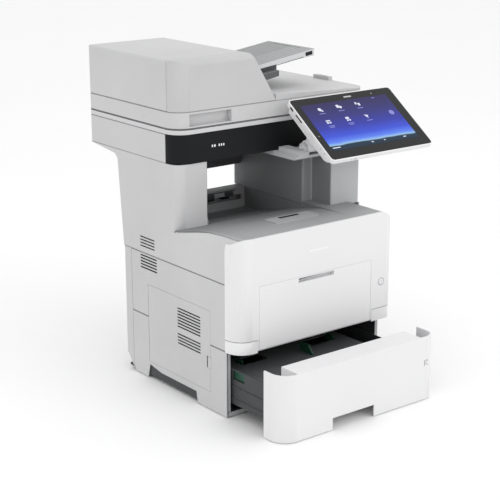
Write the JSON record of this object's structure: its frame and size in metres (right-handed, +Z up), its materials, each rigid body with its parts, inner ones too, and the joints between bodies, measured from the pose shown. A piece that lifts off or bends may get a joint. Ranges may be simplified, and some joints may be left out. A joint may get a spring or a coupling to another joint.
{
  "type": "photocopier",
  "caption": "Free-standing office copier with scanner, document feeder, tilting touch panel, output space between two pillars, front cover, manual feed door and a paper drawer.",
  "frame": {"origin": "centre of the footprint of the whole object at floor level, with the paper drawer drawn out as it stands at rest", "axes": "+Z up, front faces -Y, +X to the right of someone facing the front"},
  "size_m": [0.512, 0.632, 0.651],
  "materials": {
    "shell_grey": "fine textured",
    "shell_white": "fine textured",
    "shell_black": "satin",
    "inner_dark": "matte",
    "tray_grey": "fine textured",
    "dark_grey": "matte",
    "steel": "satin",
    "rubber": "matte",
    "red_rubber": "matte",
    "drum_coat": "gloss",
    "glass": "clear",
    "screen_glass": "gloss",
    "green": "satin",
    "board": "satin",
    "sheet_white": "matte"
  },
  "bodies": {
    "main_frame": {"base_housing": "inner_dark", "feet": "rubber", "left_cover_upper": "shell_grey", "left_cover_middle": "shell_grey", "left_cover_lower": "shell_grey", "right_cover": "shell_grey", "rear_cover": "shell_grey", "top_cover": "tray_grey", "exit_housing": "dark_grey", "right_pillar_cover": "shell_grey", "rear_beam_cover": "shell_grey", "front_lower_trim": "shell_white", "front_hinge_rod": "steel", "side_plates": "steel", "scanner_base": "shell_grey", "scanner_front_panel": "shell_black", "scanner_top_frame": "shell_grey", "platen_glass": "glass", "carriage_rods": "steel", "panel_bracket": "tray_grey", "laser_unit": "dark_grey", "fuser_housing": "dark_grey", "main_motor": "steel", "controller_board": "board", "power_supply": "steel", "power_inlet": "inner_dark", "toner_cartridge": "inner_dark", "drum_unit": "dark_grey", "adf_hinge_brackets": "steel"},
    "drawer": {"drawer_front": "shell_white", "drawer_box": "dark_grey"},
    "lift_plate": {"lift_plate": "steel"},
    "side_fence_left": {"side_fence_left": "green"},
    "side_fence_right": {"side_fence_right": "green"},
    "end_fence": {"end_fence": "green"},
    "front_cover": {"front_cover": "shell_white"},
    "bypass_door": {"bypass_door": "shell_white"},
    "power_button": {"power_button": "shell_white"},
    "left_access_door": {"left_access_door": "shell_grey"},
    "door_latch": {"door_latch": "shell_grey"},
    "output_stopper": {"output_stopper": "tray_grey"},
    "document_feeder": {"adf_base": "shell_grey", "platen_sheet": "sheet_white", "adf_end_caps": "shell_grey", "adf_tray_support": "inner_dark"},
    "adf_feed_cover": {"adf_feed_cover": "shell_grey"},
    "adf_input_tray": {"adf_input_tray": "dark_grey"},
    "adf_guide_front": {"adf_guide_front": "dark_grey"},
    "adf_guide_rear": {"adf_guide_rear": "dark_grey"},
    "adf_feed_roller": {"adf_feed_roller": "rubber"},
    "operation_panel": {"panel_housing": "shell_white", "panel_bezel": "screen_glass"},
    "scanner_carriage": {"scanner_carriage": "inner_dark"},
    "drum": {"drum": "drum_coat"},
    "transfer_roller": {"transfer_roller": "rubber"},
    "hot_roller": {"hot_roller": "rubber"},
    "pressure_roller": {"pressure_roller": "red_rubber"},
    "exit_roller": {"exit_roller": "rubber"},
    "pickup_roller": {"pickup_roller": "rubber"},
    "registration_roller": {"registration_roller": "rubber"}
  },
  "joints": [
    {"name": "drawer_slide", "type": "slide", "parent": "main_frame", "child": "drawer", "axis": [0, -1, 0], "range_m": [-0.11, 0.12]},
    {"name": "lift_plate_hinge", "type": "hinge", "parent": "drawer", "child": "lift_plate", "pos_m": [-0.085, -0.049, 0.0872], "axis": [-1, 0, 0], "range_deg": [-14, 0]},
    {"name": "side_fence_left_slide", "type": "slide", "parent": "drawer", "child": "side_fence_left", "axis": [1, 0, 0], "range_m": [0, 0.048]},
    {"name": "side_fence_right_slide", "type": "slide", "parent": "drawer", "child": "side_fence_right", "axis": [-1, 0, 0], "range_m": [0, 0.048]},
    {"name": "end_fence_slide", "type": "slide", "parent": "drawer", "child": "end_fence", "axis": [0, -1, 0], "range_m": [0, 0.05]},
    {"name": "front_cover_hinge", "type": "hinge", "parent": "main_frame", "child": "front_cover", "pos_m": [-0.066, -0.183, 0.138], "axis": [1, 0, 0], "range_deg": [0, 85]},
    {"name": "bypass_door_hinge", "type": "hinge", "parent": "front_cover", "child": "bypass_door", "pos_m": [-0.066, -0.183, 0.138], "axis": [-1, 0, 0], "range_deg": [-75, 0]},
    {"name": "power_button_press", "type": "slide", "parent": "front_cover", "child": "power_button", "axis": [0, 1, 0], "range_m": [0, 0.0015], "stiffness_N_per_m": 300, "springref_m": -0.0005},
    {"name": "left_door_hinge", "type": "hinge", "parent": "main_frame", "child": "left_access_door", "pos_m": [-0.2547, 0.104, 0.118], "axis": [0, 0, -1], "range_deg": [0, 100]},
    {"name": "door_latch_slide", "type": "slide", "parent": "left_access_door", "child": "door_latch", "axis": [0, 1, 0], "range_m": [0, 0.003], "stiffness_N_per_m": 120, "springref_m": -0.0005},
    {"name": "output_stopper_hinge", "type": "hinge", "parent": "main_frame", "child": "output_stopper", "pos_m": [-0.066, -0.1294, 0.3482], "axis": [1, 0, 0], "range_deg": [0, 60]},
    {"name": "feeder_lift_hinge", "type": "hinge", "parent": "main_frame", "child": "document_feeder", "pos_m": [-0.016, 0.31, 0.523], "axis": [-1, 0, 0], "range_deg": [0, 60]},
    {"name": "feed_cover_hinge", "type": "hinge", "parent": "document_feeder", "child": "adf_feed_cover", "pos_m": [-0.2545, 0.149, 0.558], "axis": [0, -1, 0], "range_deg": [0, 75]},
    {"name": "input_tray_hinge", "type": "hinge", "parent": "document_feeder", "child": "adf_input_tray", "pos_m": [-0.068, 0.1275, 0.6062], "axis": [0, -1, 0], "range_deg": [0, 25]},
    {"name": "guide_front_slide", "type": "slide", "parent": "adf_input_tray", "child": "adf_guide_front", "axis": [0, 1, 0], "range_m": [0, 0.04]},
    {"name": "guide_rear_slide", "type": "slide", "parent": "adf_input_tray", "child": "adf_guide_rear", "axis": [0, -1, 0], "range_m": [0, 0.04]},
    {"name": "feed_roller_spin", "type": "hinge", "parent": "document_feeder", "child": "adf_feed_roller", "pos_m": [-0.111, 0.149, 0.602], "axis": [0, 1, 0], "continuous": true},
    {"name": "panel_tilt_hinge", "type": "hinge", "parent": "main_frame", "child": "operation_panel", "pos_m": [0.027, -0.054, 0.468], "axis": [1, 0, 0], "range_deg": [-12, 45]},
    {"name": "carriage_slide", "type": "slide", "parent": "main_frame", "child": "scanner_carriage", "axis": [1, 0, 0], "range_m": [0, 0.36]},
    {"name": "drum_spin", "type": "hinge", "parent": "main_frame", "child": "drum", "pos_m": [-0.086, 0.004, 0.215], "axis": [1, 0, 0], "continuous": true},
    {"name": "transfer_roller_spin", "type": "hinge", "parent": "main_frame", "child": "transfer_roller", "pos_m": [-0.086, 0.004, 0.1905], "axis": [1, 0, 0], "continuous": true},
    {"name": "hot_roller_spin", "type": "hinge", "parent": "main_frame", "child": "hot_roller", "pos_m": [-0.086, 0.124, 0.226], "axis": [1, 0, 0], "continuous": true},
    {"name": "pressure_roller_spin", "type": "hinge", "parent": "main_frame", "child": "pressure_roller", "pos_m": [-0.086, 0.124, 0.1974], "axis": [1, 0, 0], "continuous": true},
    {"name": "exit_roller_spin", "type": "hinge", "parent": "main_frame", "child": "exit_roller", "pos_m": [-0.077, 0.172, 0.331], "axis": [1, 0, 0], "continuous": true},
    {"name": "pickup_roller_spin", "type": "hinge", "parent": "main_frame", "child": "pickup_roller", "pos_m": [-0.085, -0.101, 0.126], "axis": [1, 0, 0], "continuous": true},
    {"name": "registration_roller_spin", "type": "hinge", "parent": "main_frame", "child": "registration_roller", "pos_m": [-0.085, -0.061, 0.182], "axis": [1, 0, 0], "continuous": true}
  ],
  "couplings": [
    {"joint": "side_fence_right_slide", "follows": "side_fence_left_slide", "ratio": 1},
    {"joint": "guide_rear_slide", "follows": "guide_front_slide", "ratio": 1},
    {"joint": "transfer_roller_spin", "follows": "drum_spin", "ratio": -1.875},
    {"joint": "hot_roller_spin", "follows": "drum_spin", "ratio": 1.0714},
    {"joint": "pressure_roller_spin", "follows": "drum_spin", "ratio": -1.0714},
    {"joint": "exit_roller_spin", "follows": "drum_spin", "ratio": 1.875},
    {"joint": "registration_roller_spin", "follows": "drum_spin", "ratio": -1.6667}
  ]
}
